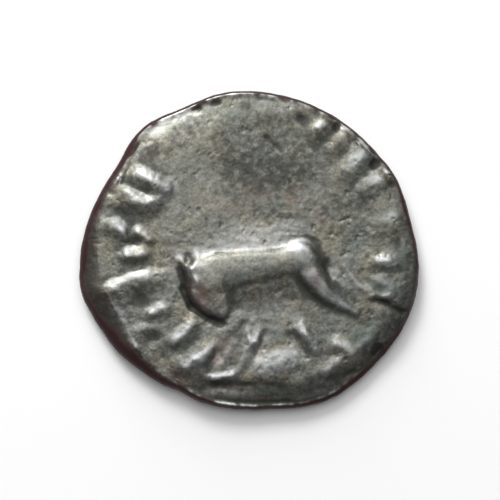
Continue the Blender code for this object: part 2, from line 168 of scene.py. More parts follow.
# Folds and grooves on the beast and the ground, as (start, end, half width, height)
FOLDS = (
    ((-3.74, -0.58), (-3.40, -1.10), 0.32, 0.10),
    ((-2.85, -0.45), (-3.12, -1.05), 0.30, 0.10),
    ((-3.18, -1.08), (-2.92, -1.90), 0.24, 0.08),
    ((-3.42, -0.40), (-3.28, -0.85), 0.26, -0.12),
    ((2.46, -4.36), (2.96, -4.63), 0.32, 0.06),
    ((-1.05, -4.75), (-1.75, -5.80), 0.42, -0.05),
    ((-1.70, -5.70), (-2.30, -6.60), 0.40, -0.06),
    ((-0.35, -4.90), (-0.85, -6.40), 0.34, -0.035),
    ((0.75, -4.63), (0.35, -5.60), 0.42, -0.07),
    ((0.40, -5.50), (-0.20, -6.70), 0.38, -0.05),
    ((2.20, -4.67), (3.03, -5.73), 0.44, -0.07),
    ((4.21, -0.72), (4.36, -1.48), 0.40, -0.06),
    ((-3.66, -1.05), (-3.64, -2.20), 0.26, -0.07),
    ((-3.64, -2.20), (-3.18, -3.15), 0.32, -0.10),
    ((-3.18, -3.15), (-1.50, -4.05), 0.34, -0.10),
    ((2.60, -1.75), (4.10, -3.05), 0.34, -0.03),
    ((4.10, -3.05), (5.80, -3.80), 0.28, -0.03),
    ((5.20, -1.00), (6.00, -2.00), 0.16, 0.035),
    ((6.00, -2.00), (7.10, -2.64), 0.15, 0.045),
    ((-2.50, -7.42), (1.90, -7.50), 0.55, -0.08),
    ((3.30, -7.30), (5.60, -6.60), 0.50, -0.07),
    ((-2.00, -7.04), (-0.95, -6.88), 0.30, 0.12),
    ((-6.60, 4.90), (-7.45, 3.30), 0.26, 0.06),
    ((0.90, 6.15), (1.75, 5.35), 0.28, -0.045),
    ((6.90, -2.70), (8.45, -3.40), 0.26, -0.20),
    ((6.50, -2.60), (7.70, -2.50), 0.22, 0.05),
)

# Broad swells and dents of the field, as (x, y, half length, half width, turn in degrees, height)
SWELLS = (
    (0.10, -0.80, 4.2, 2.6, 4, 0.11),
    (1.50, -6.20, 1.7, 1.0, 25, 0.10),
    (-2.90, 7.67, 0.45, 0.28, 20, -0.10),
    (-1.85, 8.05, 0.42, 0.26, 5, -0.08),
    (2.80, 7.25, 0.60, 0.45, 0, -0.05),
    (4.75, 6.70, 0.50, 0.36, 60, -0.10),
    (6.80, 4.70, 0.55, 0.42, 60, -0.11),
    (7.75, 3.60, 0.34, 0.28, 0, -0.07),
    (-6.30, 0.45, 0.50, 0.42, 0, -0.06),
    (-6.30, -0.80, 0.75, 0.45, 0, -0.06),
    (-6.10, -2.70, 0.95, 0.70, 15, -0.06),
    (-5.30, -4.75, 0.80, 0.55, 20, -0.08),
    (-4.75, -5.75, 0.40, 0.55, 20, -0.05),
    (4.20, -1.00, 0.40, 0.48, 0, -0.03),
    (2.25, -2.70, 0.40, 0.40, 0, -0.03),
    (7.00, -5.45, 0.70, 0.42, 40, -0.16),
    (5.60, 2.30, 1.60, 0.90, 10, -0.04),
    (6.30, -4.10, 1.30, 0.80, 0, -0.05),
    (-1.60, 4.20, 3.20, 1.80, 10, -0.05),
    (1.50, 2.40, 3.60, 0.90, 0, 0.03),
    (-4.60, 6.20, 1.30, 0.80, 30, 0.05),
    (8.10, 0.40, 0.50, 0.95, 0, -0.06),
)

# How coarse the metal is all over, and where it is coarser, or smoother below 0, as (x, y, half length, half
# width, turn in degrees, strength): coarse above the beast and on the right, smooth on its flank and leg
EVEN_COARSENESS = 0.42
COARSE_PATCHES = (
    (1.0, 1.2, 4.6, 1.5, 0, 0.50), (6.0, 1.2, 2.6, 3.6, 0, 0.35), (0.5, 4.5, 5.5, 3.6, 0, 0.25),
    (-0.5, 3.0, 3.6, 1.5, 0, -0.35), (0.0, -1.0, 4.6, 2.0, 3, -0.90), (4.3, -2.4, 2.4, 1.1, -38, -0.72),
)

# Stains and painted light on no relief, as (x, y, half length, half width, turn in degrees, darkness), pale
# ones below 0
# The dark spots are partly real stains and partly painted shade on shaded slopes; the pale ones are painted
# highlights.
STAINS_AND_PAINTED_LIGHT = (
    (-1.30, -7.30, 2.3, 0.36, -1, 0.9), (1.10, -7.42, 2.6, 0.4, -3, 0.85),
    (-0.90, -7.24, 2.4, 0.24, -1, 1.0), (1.80, -7.30, 1.8, 0.3, 0, 0.7), (4.80, -6.85, 2.1, 0.42, 28, 1.15),
    (-5.50, 5.20, 1.3, 0.7, 30, 0.5), (-0.50, 0.42, 3.2, 0.42, 2, -0.5), (1.50, 0.25, 0.7, 0.3, 12, -0.9),
    (-2.70, 0.00, 0.6, 0.36, 20, -0.9), (6.45, -5.95, 1.1, 0.52, 42, 1.2),
    (-0.90, -7.84, 2.0, 0.36, -4, -0.8), (6.98, -5.38, 0.66, 0.56, 35, 2.6),
    (6.15, -5.00, 0.8, 0.36, 25, -0.45), (3.60, -7.80, 1.9, 0.28, 15, -0.5),
    (-2.95, -7.00, 0.9, 0.4, 20, 0.9), (3.45, 0.62, 0.9, 0.13, -24, 1.0), (2.60, 0.74, 0.7, 0.1, 0, 0.9),
    (-4.25, -1.90, 0.4, 1.3, 0, -0.35), (4.30, -2.00, 0.7, 0.12, -52, 0.7),
    (7.75, -2.98, 1.1, 0.34, -22, 0.5), (8.25, -1.05, 0.6, 0.34, 0, 0.9), (-6.86, 3.95, 0.8, 0.16, 70, 1.0),
    (-7.22, 3.95, 0.9, 0.18, 64, -0.8), (-2.88, 7.66, 0.5, 0.3, 15, 1.1), (-1.84, 8.04, 0.5, 0.28, 5, 1.0),
    (-0.20, 7.90, 0.8, 0.4, 0, 0.5), (0.93, 6.15, 0.3, 0.22, -20, 1.0), (1.35, 5.72, 0.55, 0.14, -40, 0.6),
    (0.92, 6.52, 0.34, 0.24, 30, -0.8), (3.10, 5.02, 0.45, 0.12, -20, 0.6),
    (1.84, 7.40, 0.32, 0.55, 0, -0.7), (-0.70, 7.50, 1.4, 0.5, 0, -0.35), (-6.43, 5.40, 0.95, 0.28, 50, 2.3),
    (4.69, 6.73, 0.5, 0.4, 60, 0.9), (2.90, 7.15, 0.8, 0.6, 0, 0.5), (6.80, 4.72, 0.6, 0.5, 60, 1.1),
    (7.71, 3.60, 0.4, 0.4, 0, 0.8), (-6.60, 2.25, 1.5, 0.6, 0, 0.6), (-6.35, 3.75, 0.9, 0.45, -15, 0.5),
    (-6.40, -0.60, 0.9, 0.36, 0, 0.4), (-6.30, -0.90, 1.0, 0.36, 8, -0.3), (-6.10, -2.65, 1.2, 0.75, 0, 0.8),
    (-5.46, -3.76, 0.6, 0.35, 15, 0.6), (-5.41, -4.85, 1.1, 0.6, 18, 0.8), (-4.75, -5.63, 0.6, 0.6, 0, 0.5),
    (-7.60, 1.55, 0.7, 0.45, 0, 0.5), (-7.20, 0.30, 0.5, 0.6, 0, 0.5), (-6.20, 0.30, 0.45, 0.3, 0, 0.1),
    (0.75, -1.95, 2.3, 0.46, 20, 0.2), (-0.30, -0.55, 2.7, 0.34, 3, 0.4), (-3.64, -1.60, 0.9, 0.2, -86, 0.4),
    (-3.42, -2.75, 0.8, 0.26, -60, 0.65), (-2.45, -3.62, 1.4, 0.26, -28, 0.8),
    (4.25, -3.05, 1.9, 0.18, -34, 0.3), (3.95, -3.42, 2.2, 0.26, -34, -0.2),
    (4.55, -2.45, 1.6, 0.45, -40, 0.3), (4.25, -0.88, 0.34, 0.4, 0, 0.1), (3.60, -3.30, 1.9, 0.9, -30, 0.3),
    (4.50, -1.10, 0.5, 0.9, 0, -0.4), (3.75, -0.10, 0.6, 0.16, -75, 0.2), (-3.30, -0.40, 0.2, 0.4, 0, 0.2),
    (-3.36, -0.50, 0.6, 0.5, 0, -0.4), (-1.75, -5.60, 1.7, 0.5, 56, 0.35),
    (-2.20, -5.85, 1.2, 0.55, 58, -0.5), (-0.63, -5.75, 1.1, 0.28, 72, 0.5),
    (0.38, -5.40, 1.4, 0.45, 66, -0.35), (2.66, -4.95, 0.8, 0.24, -60, 0.5),
    (2.60, -5.40, 1.1, 0.6, -58, -0.45), (7.60, -4.00, 1.2, 1.3, 20, 0.8), (8.30, 0.30, 0.7, 1.3, 0, 0.6),
    (-4.60, 0.60, 0.9, 0.9, 0, 0.25), (3.60, 6.55, 0.2, 0.2, 0, 0.8), (1.00, 5.60, 6.0, 3.8, 0, 0.84),
    (0.60, 3.40, 4.8, 2.4, 5, 0.52), (5.40, 2.00, 2.7, 3.2, 0, 0.62), (2.62, 0.22, 1.1, 0.55, 6, -1.0),
    (1.50, -6.10, 2.0, 1.0, 24, -1.5), (0.90, 7.65, 1.6, 0.5, -8, -0.7), (-4.97, 6.45, 1.0, 0.8, 30, -0.65),
    (-3.40, 7.25, 1.5, 0.4, 22, -1.0), (-0.50, 0.04, 2.6, 0.34, 2, -0.8), (-2.40, -0.25, 0.9, 0.3, 24, -0.7),
    (0.90, -3.70, 3.2, 1.5, 8, -0.32), (-0.60, -5.60, 2.4, 1.6, 20, -0.6), (0.90, 0.95, 3.6, 0.9, 0, -0.55),
    (-4.90, -2.60, 1.0, 0.9, 40, -0.4), (-5.90, -4.20, 1.3, 0.35, 14, -0.3),
    (-2.90, -5.95, 1.3, 0.55, 32, -0.6), (5.75, 5.00, 0.95, 0.5, 50, -0.9),
    (3.80, 6.75, 0.65, 0.5, 50, -0.9), (4.90, 6.10, 0.7, 0.4, 50, -0.5), (6.75, 3.80, 0.75, 0.42, 30, -0.8),
    (7.25, -0.42, 0.6, 0.34, 0, -1.0), (7.45, -1.85, 0.5, 0.45, 0, -0.5), (7.50, 1.75, 0.8, 0.45, 10, -0.5),
    (5.15, -5.20, 0.7, 0.42, -30, -0.9), (4.60, -6.10, 0.8, 0.36, 40, -0.5),
    (-5.50, 4.05, 1.0, 0.36, -25, -1.0), (-6.00, 2.92, 1.1, 0.34, -22, -1.0),
    (-7.10, 1.35, 0.6, 0.42, -40, -1.0), (-5.95, 1.05, 0.6, 0.26, -30, -0.8),
    (-6.40, -0.05, 0.6, 0.36, 8, -1.0), (-7.40, -1.80, 0.6, 0.4, 20, -1.0),
    (-6.20, -1.42, 1.4, 0.3, 18, -0.8), (-3.70, -4.45, 1.0, 0.4, 45, -0.7),
    (-1.80, -6.85, 0.9, 0.3, 14, -1.0), (0.05, -5.10, 0.5, 0.6, 0, -0.7), (2.95, -4.60, 0.3, 0.7, 25, -0.9),
    (-4.10, 6.00, 3.0, 1.2, 38, 0.65), (-4.40, 3.40, 0.55, 0.9, -20, -0.75),
    (-5.55, 5.35, 0.9, 0.5, 40, 0.4), (-4.90, 0.75, 0.6, 0.5, 0, -0.4), (7.50, 4.35, 0.28, 0.28, 0, -1.6),
    (5.15, 6.66, 0.3, 0.24, 0, -1.3), (3.90, 7.62, 0.4, 0.2, -35, -1.3), (-3.05, -1.40, 0.8, 0.2, -72, -0.9),
    (-3.75, -0.30, 0.6, 0.5, 0, -0.8), (-3.05, -0.20, 0.4, 0.4, 0, -0.5),
    (5.60, -1.60, 1.1, 0.16, -56, -0.7), (7.00, -2.56, 0.9, 0.16, -6, -0.7),
    (6.30, -2.05, 0.5, 0.3, 0, -0.5), (4.95, -1.50, 1.1, 0.6, -55, -0.45),
    (-7.10, -3.50, 1.4, 0.5, -62, -0.7), (-6.55, -4.75, 0.8, 0.3, -55, -0.6),
    (-6.30, -5.16, 0.34, 0.26, -30, -1.6), (-4.85, -6.62, 0.4, 0.22, 10, -1.0),
    (-5.08, -3.30, 0.5, 0.26, 27, -1.0), (-3.60, -4.52, 0.9, 0.26, 41, -1.0),
    (-2.80, -5.92, 1.0, 0.36, 35, -0.9), (0.80, -3.00, 2.2, 0.9, 20, -0.35),
    (-4.60, -6.60, 0.9, 0.6, -40, -0.3), (-7.30, -5.10, 0.5, 1.6, 28, -0.3),
    (7.75, -2.25, 0.9, 0.5, 20, -0.3),
)

# Brownish spots, as (x, y, half length, half width, turn in degrees, strength)
WARM_SPOTS = (
    (-2.95, -2.40, 0.9, 1.2, 10, 1.0), (3.40, -1.50, 1.0, 0.5, -60, 0.6), (-1.50, -5.40, 1.6, 0.8, 60, 0.6),
    (-3.70, -7.00, 1.6, 0.7, -10, 0.8), (0.40, 3.20, 1.6, 1.0, 0, 0.3), (-2.80, -2.95, 1.0, 0.7, -35, 0.8),
    (2.60, 3.00, 1.3, 0.9, 20, 0.45), (-1.20, 2.30, 1.4, 0.7, 0, 0.35), (3.60, 1.80, 1.2, 0.8, 0, 0.3),
    (4.80, -5.30, 0.7, 0.5, 0, 0.4), (-1.60, -7.40, 1.6, 0.3, 0, 0.8),
)

# Teal spots, as (x, y, half length, half width, turn in degrees, strength)
COOL_SPOTS = (
    (-3.20, -4.90, 1.3, 0.5, 40, 0.9), (-4.20, -2.40, 0.8, 0.7, 0, 0.6), (1.70, -4.60, 1.3, 0.5, 0, 0.6),
    (3.40, -5.50, 0.6, 0.9, 0, 0.6), (6.20, -4.60, 1.6, 0.9, 20, 0.9), (7.20, -1.90, 1.3, 0.8, -20, 0.8),
    (1.20, -7.60, 1.4, 0.4, 0, 1.0), (8.35, -0.60, 0.6, 1.2, 0, 0.9), (6.60, 5.00, 1.2, 0.8, 50, 0.7),
    (-0.80, -1.60, 1.4, 0.7, 20, 0.5), (-6.50, 3.40, 1.3, 0.8, -30, 0.6), (-3.00, 5.00, 2.0, 1.2, 30, 0.4),
    (2.40, 6.20, 1.6, 0.9, 0, 0.5), (-7.30, 1.95, 0.8, 0.5, 0, 0.7), (5.40, -3.40, 1.2, 0.8, -30, 0.6),
    (2.95, -0.55, 0.6, 0.8, 0, 0.6), (7.20, 1.70, 1.4, 1.0, 0, 0.7), (1.80, -1.00, 1.2, 0.5, 10, 0.4),
    (-0.60, 7.40, 2.0, 0.7, 0, 0.7), (2.40, -7.35, 1.4, 0.4, 8, 0.8), (1.60, -6.00, 1.7, 0.9, 24, 0.5),
)

# Sectors where the face runs down to the edge, as (angle, half spread, inner share of the radius, drop)
RIM_FALLS = (
    (127, 24, 0.76, 0.34), (280, 34, 0.84, 0.42), (316, 24, 0.86, 0.40), (352, 22, 0.90, 0.16),
    (55, 30, 0.90, 0.16),
)

# Stretches of rim left as a thin lip, as (angle, half spread, height)
RIM_LIPS = ((275, 34, 0.13), (98, 22, 0.07), (45, 16, 0.05))

# Stretches of rim painted bright, partly worn bare and partly a painted highlight, as (angle, half spread,
# share)
RIM_RUBS_AND_GLINTS = (
    (99, 20, 1.1), (74, 10, 0.6), (121, 8, 0.9), (52, 14, 0.5), (38, 10, 0.5), (264, 22, 1.5),
    (300, 12, 0.6), (148, 14, 0.8),
)

# Stretches where the red line is wider, or narrower below 0, as (angle, half spread, change)
RED_STRETCHES = ((306, 16, 0.35), (190, 45, 0.4), (140, 7, 0.5), (220, 16, 0.9), (342, 22, -0.5))

# Features of the metal's colour and the depth of its finest relief, in metres
WARM_CLOUD, COOL_CLOUD, SPECK, GRIT = 0.0021, 0.0034, 0.00032, 0.00013
BUMP_HEIGHT = 0.000012

# Lights, as (name, azimuth and elevation in degrees, distance and width in metres)
WINDOW = ("window", -8.0, 61.0, 0.45, 0.50)
KEY_LIGHT = ("key_light", -22.0, 38.0, 0.35, 0.12)
LOW_LIGHT = ("low_light", -14.0, 15.0, 0.35, 0.14)

# Half width of the floor and the place that the camera looks at, in metres, and its sensor and lens in mm
FLOOR_REACH = 1.5
VIEW_CENTRE = (0.0, -0.00004, 0.0014)
SENSOR_WIDTH = 36.0
LENS = 150.0


def smooth_step(value):
    """0 below 0 and 1 above 1, with level ends: three times the square less twice the cube."""
    held = np.clip(value, 0.0, 1.0)
    return held * held * (3.0 - 2.0 * held)


def bell(angle, centre, spread):
    """1 at an angle in degrees, falling to 1/e at spread degrees to each side: e to minus the square."""
    off = (np.degrees(angle) - centre + 180.0) % 360.0 - 180.0
    return np.exp(-((off / spread) ** 2))


def flan_share(angle):
    """Outline's distance from the pole over the half diameter: the points joined by straight runs, then
    averaged round the circle with a bell as wide as the rounding."""
    samples = np.radians(np.arange(360.0))
    points = np.radians([point[0] for point in OUTLINE])
    straight = np.interp(samples, points, [point[1] for point in OUTLINE], period=2 * math.pi)
    weights = bell(samples, 0, OUTLINE_ROUNDING)
    rounded = np.real(np.fft.ifft(np.fft.fft(straight) * np.fft.fft(weights / weights.sum())))
    return np.interp(angle, samples, rounded, period=2 * math.pi)


def outline_frame(size):
    """Half diameter in mm, and the place of the outline's middle from the pole, halfway between extremes."""
    half = 0.5 * size.flan_diameter / MM
    angle = np.radians(np.arange(0.0, 360.0, 0.5))
    x = flan_share(angle) * np.cos(angle)
    y = flan_share(angle) * np.sin(angle)
    return half, 0.5 * (x.min() + x.max()) * half, 0.5 * (y.min() + y.max()) * half


def place(angle, radius, size):
    """Polar places in mm about the pole as x and y from the outline's middle."""
    _, middle_x, middle_y = outline_frame(size)
    return radius * np.cos(angle) - middle_x, radius * np.sin(angle) - middle_y


def edge_inset(angle):
    """How far the struck face stops short of the outline, in mm: the inset and a bell for each slope."""
    return EDGE_INSET + sum(width * bell(angle, centre, spread) for centre, spread, width in EDGE_SLOPES)


def red_width(angle):
    """Width of the edge's red line over its usual one: 1, and a bell more or less for each stretch."""
    return 1.0 + sum(change * bell(angle, centre, spread) for centre, spread, change in RED_STRETCHES)


def gradient_noise(x, y, cell, seed):
    """Smooth noise from about -1 to 1: at each corner of a square lattice a random slope, and between them
    the four slopes' planes blended with a fifth-power step."""
    turn = np.random.default_rng(seed).uniform(0.0, 2 * math.pi, (256, 256))
    u, v = x / cell, y / cell
    column, row = np.floor(u).astype(int), np.floor(v).astype(int)
    u, v = u - column, v - row
    blend_u = u**3 * (u * (u * 6 - 15) + 10)
    blend_v = v**3 * (v * (v * 6 - 15) + 10)

    def corner(i, j):
        slope = turn[(column + i) % 256, (row + j) % 256]
        return np.cos(slope) * (u - i) + np.sin(slope) * (v - j)

    low = corner(0, 0) * (1 - blend_u) + corner(1, 0) * blend_u
    high = corner(0, 1) * (1 - blend_u) + corner(1, 1) * blend_u
    return 1.5 * (low * (1 - blend_v) + high * blend_v)


def cloud(x, y, cell, octaves, seed):
    """Noise in octaves: each has half the last one's cell and 0.55 of its height, turned by 37 degrees."""
    total = 0.0
    for octave in range(octaves):
        total = total + 0.55**octave * gradient_noise(x, y, cell * 0.5**octave, seed + octave)
        x, y = 0.7986 * x - 0.6018 * y + 3.7, 0.6018 * x + 0.7986 * y - 1.9
    return total


def segment(x, y, start, end):
    """Distance to a stretch, how far along it the nearest point is, and the side: above 0 on its left."""
    along_x, along_y = end[0] - start[0], end[1] - start[1]
    length_2 = along_x**2 + along_y**2
    share = np.clip(((x - start[0]) * along_x + (y - start[1]) * along_y) / length_2, 0.0, 1.0)
    off_x, off_y = x - start[0] - share * along_x, y - start[1] - share * along_y
    return np.hypot(off_x, off_y), share, along_x * off_y - along_y * off_x


def ridge(x, y, start, end, half_width):
    """1 on the stretch and 0 from its half width outwards, with a smooth step between."""
    distance, _, _ = segment(x, y, start, end)
    return smooth_step(1.0 - distance / half_width)


def bolster(x, y, sides, chain):
    """A rounded bolster carried along a chain of points. At each place its height is the highest of the
    stretches': a dome, 1 less the distance over the half width squared, on a plinth of the border's height,
    stepped up over the soft share of the width. Softness and border differ between left and right."""
    heights = []
    softness, border = zip(*sides)
    for start, end in zip(chain[:-1], chain[1:]):
        distance, share, side = segment(x, y, start, end)
        off = np.clip(distance / (start[2] + share * (end[2] - start[2])), 0.0, 1.0)
        plinth = np.where(side > 0, *border)
        step = smooth_step((1.0 - off) / np.where(side > 0, *softness))
        rise = step * (plinth + (1.0 - plinth) * (1.0 - off * off))
        heights.append((start[3] + share * (end[3] - start[3])) * rise)
    return np.maximum.reduce(heights)


def joined(heights):
    """Ridges melted into each other: the fourth root of the sum of their fourth powers."""
    return sum(height**4 for height in heights) ** 0.25


def beast(x, y, relief):
    """The beast's relief: its limbs' bolsters, melted together."""
    x, y = (x - BEAST_BACK[0]) / BEAST_LENGTH, (y - BEAST_BACK[1]) / BEAST_LENGTH
    return relief * joined([bolster(x, y, sides, chain) for sides, chain in LIMBS])


def stroke(x, y, crest, upper_width, lower_width):
    """A ridge along the crest's points: half a smooth step of the distance and half a straight slope, with
    one width above the crest and another below it."""
    heights = []
    for start, end in zip(crest[:-1], crest[1:]):
        distance, _, side = segment(x, y, start, end)
        width = np.where(side > 0, upper_width, lower_width)
        rise = np.clip(1.0 - distance / width, 0.0, 1.0)
        heights.append(0.55 * smooth_step(rise) + 0.45 * rise)
    return np.maximum.reduce(heights)


def swell(x, y, middle_x, middle_y, half_length, half_width, turn):
    """A smooth mound: 1 at its middle and 0 at the border of its ellipse."""
    cos, sin = math.cos(math.radians(turn)), math.sin(math.radians(turn))
    off_x, off_y = x - middle_x, y - middle_y
    along, across = off_x * cos + off_y * sin, off_y * cos - off_x * sin
    return smooth_step(1.0 - np.hypot(along / half_length, across / half_width))


def spot_on(x, y, middle_x, middle_y, half_length, half_width, turn):
    """A stain: like a swell whose slope fills only the outer two thirds of its ellipse."""
    rise = swell(x, y, middle_x, middle_y, half_length, half_width, turn)
    return smooth_step(1.5 * rise)


def roughness_of(x, y):
    """How coarse the metal is, up to 1: an even share, the coarse patches less the smooth, and a cloud."""
    patches = sum(strength * swell(x, y, *patch) for *patch, strength in COARSE_PATCHES)
    return np.clip(EVEN_COARSENESS + patches + 0.15 * cloud(x, y, 1.6, 2, 31), 0.05, 1.0)


def metal_grain(x, y):
    """Small heights of old metal in mm: slow waves, corroded mottling and scattered pits."""
    waves = 0.020 * cloud(x, y, 2.1, 2, 3)
    coarse = roughness_of(x, y)
    mottling = 0.024 * cloud(x, y, 0.36, 3, 11)
    pits = smooth_step((cloud(x, y, 0.62, 3, 17) - 0.55) / 0.55)
    return waves + coarse * mottling - PIT_DEPTH * (0.25 + coarse) * pits


def face_height(x, y, size):
    """Height of the struck face in mm at places from the outline's middle: a low dome, less the falls at the
    rim and plus its lips, and on it the beast, strokes, folds and swells, which fade towards the rim."""
    half, middle_x, middle_y = outline_frame(size)
    angle = np.arctan2(y + middle_y, x + middle_x)
    share = np.hypot(x + middle_x, y + middle_y) / (half * flan_share(angle))
    field = size.field_height / MM - DOME_DROP * share**3
    for centre, spread, inner, drop in RIM_FALLS:
        field = field - drop * bell(angle, centre, spread) * smooth_step((share - inner) / (1.0 - inner))
    for centre, spread, height in RIM_LIPS:
        field = field + height * bell(angle, centre, spread) * smooth_step((share - LIP_START) / LIP_RISE)
    warp_x = x + LINE_WANDER * cloud(x, y, 0.9, 2, 41)
    warp_y = y + LINE_WANDER * cloud(x, y, 0.9, 2, 47)
    wear = np.clip(1.0 + 0.30 * cloud(x, y, 1.0, 2, 53), 0.5, 1.35)
    ridges = [beast(x, y, size.beast_relief / MM)]
    for crest, upper_width, lower_width, height in STROKES:
        rise = stroke(warp_x, warp_y, crest, STROKE_SPREAD * upper_width, STROKE_SPREAD * lower_width)
        ridges.append(size.stroke_share * height * wear * rise)
    height = joined(ridges)
    for start, end, half_width, fold in FOLDS:
        height = height + fold * ridge(warp_x, warp_y, start, end, half_width)
    for *spot, rise in SWELLS:
        height = height + rise * swell(x, y, *spot)
    fade = 1.0 - RIM_FADE * smooth_step((share - FADE_START) / (1.0 - FADE_START))
    return field + fade * height


def back_height(x, y, size):
    """Height of the back face in mm: a gap that grows at the edge, less a ring of strokes and a boss, and
    never under 0, where both are flat."""
    half, middle_x, middle_y = outline_frame(size)
    x, y = x + middle_x, y + middle_y
    angle, radius = np.arctan2(y, x), np.hypot(x, y)
    edge = half * flan_share(angle)
    step = 2 * math.pi / BACK_STROKES
    across = ((angle + 0.5 * step) % step - 0.5 * step) * radius / BACK_STROKE_HALF_WIDTH
    along = (radius - edge + BACK_STROKE_INSET) / BACK_STROKE_HALF_LENGTH
    border = BACK_STROKE_HEIGHT * smooth_step(1.0 - np.hypot(across, along))
    half_x, half_y = BACK_BOSS_HALF
    boss = BACK_BOSS_HEIGHT * np.clip(1.0 - (x / half_x) ** 2 - (y / half_y) ** 2, 0.0, 1.0)
    rise = BACK_EDGE_RISE * smooth_step((radius / edge - 0.85) / 0.15)
    grain = 0.020 * cloud(x, y, 1.9, 2, 61) + 0.010 * cloud(x, y, 0.4, 3, 67)
    return np.maximum(BACK_GAP + rise - border - boss + grain, 0.0)


def blurred(values, reach):
    """The grid averaged over a square of neighbours three times, by running sums. It comes near a bell."""
    for _ in range(3):
        for axis in (0, 1):
            pad = [(reach, reach) if axis == side else (0, 0) for side in (0, 1)]
            sums = np.cumsum(np.pad(values, pad, mode="edge"), axis=axis)
            sums = np.insert(sums, 0, 0.0, axis=axis)
            width = 2 * reach + 1
            count = values.shape[axis]
            ahead, behind = range(width, width + count), range(count)
            values = (np.take(sums, ahead, axis) - np.take(sums, behind, axis)) / width
    return values


def disc_grid(cells):
    """Polar angle and share of the radius on a square grid laid over the unit disc, its sides on the circle:
    x is u times the root of 1 less half v squared, and y the same with u and v exchanged."""
    side = np.linspace(-1.0, 1.0, cells + 1)
    u, v = np.meshgrid(side, side, indexing="ij")
    x, y = u * np.sqrt(1.0 - 0.5 * v * v), v * np.sqrt(1.0 - 0.5 * u * u)
    return np.arctan2(y, x), np.hypot(x, y)


def grid_faces(index):
    """Quads between the neighbours of an index grid, turning left from its first axis to its second."""
    return np.stack([index[:-1, :-1], index[1:, :-1], index[1:, 1:], index[:-1, 1:]], axis=-1).reshape(-1, 4)


def border_of(index):
    """Indices round the border of a square index grid, counter-clockwise from the corner at its start."""
    return np.concatenate([index[:-1, 0], index[-1, :-1], index[:0:-1, -1], index[0, :0:-1]])


def marked(x, y, spots, sign=1.0):
    """Sum at each place of the spots whose strength has the sign: each one's shape times its strength."""
    return sum(max(sign * strength, 0.0) * spot_on(x, y, *spot) for *spot, strength in spots)


def struck_face(size):
    """The face's square grid laid on the disc inside its edge.

    Returns each point's angle, its place in mm and its marks: bare worn metal with painted highlights, and
    dark deposit with painted shade, both from how far it stands over or under its smoothed surroundings and
    from the stains and pale spots, its gap to the outline, which sets the red line of painted shade, how far
    it is part of the edge's band, and how brown and how teal it is.
    """
    cells = size.face_cells
    angle, share = disc_grid(cells)
    edge = outline_frame(size)[0] * flan_share(angle)
    radius = share * (edge - edge_inset(angle))
    x, y = place(angle, radius, size)
    z = blurred(face_height(x, y, size), 1)
    fine = z - blurred(z, max(1, cells // 64))
    broad = z - blurred(z, max(1, cells // 30))

    ragged = 0.75 + 0.28 * cloud(x, y, 0.5, 3, 91)
    # Dark spots paint shade and pale spots paint highlights.
    stain_and_shade, pale = marked(x, y, STAINS_AND_PAINTED_LIGHT), marked(x, y, STAINS_AND_PAINTED_LIGHT, -1.0)
    inside = edge - radius - edge_inset(angle)
    # The rim's lips: partly worn bare, partly a painted highlight where they catch the light.
    lip_rub_and_glint = sum(share * bell(angle, centre, spread) for centre, spread, share in RIM_RUBS_AND_GLINTS)
    lip_rub_and_glint = lip_rub_and_glint * smooth_step(1.0 - inside / LIP_GLINT_WIDTH) * smooth_step(0.55 + cloud(x, y, 0.7, 2, 97))
    unlipped = 1.0 - np.clip(lip_rub_and_glint, 0.0, 1.0)
    crests = smooth_step((fine - 0.004) / 0.060) * smooth_step(0.25 + broad / 0.12)
    # Bare metal worn on the crests, plus painted highlights from the pale spots and the rim's glints.
    wear_and_glint = 0.40 * crests * (0.3 + 0.9 * ragged) + 0.50 * ragged * pale + lip_rub_and_glint
    # Dark deposit in recesses, which also paints their shade, and painted shade from the dark spots, less
    # under pale spots.
    deposit_and_shade = smooth_step(-0.05 - broad / 0.110) + 0.6 * smooth_step((-fine - 0.002) / 0.030)
    deposit_and_shade = deposit_and_shade * (1.0 - np.clip(1.3 * pale, 0.0, 1.0)) + ragged * (stain_and_shade - 0.6 * pale)
    stray = 0.08 * cloud(x, y, 0.7, 3, 83)
    marks = {
        "wear_and_glint": np.clip(wear_and_glint - 0.5 * stain_and_shade, 0.0, 1.0),
        "deposit_and_shade": deposit_and_shade * unlipped,
        "gap": (edge - radius) / red_width(angle) + 0.5 * lip_rub_and_glint,
        "edge": smooth_step(1.0 - (inside + stray) / BAND_BORDER) * unlipped,
        "warm": marked(x, y, WARM_SPOTS),
        "cool": marked(x, y, COOL_SPOTS),
    }
    return angle, np.stack([x, y, z + metal_grain(x, y)], axis=-1), marks


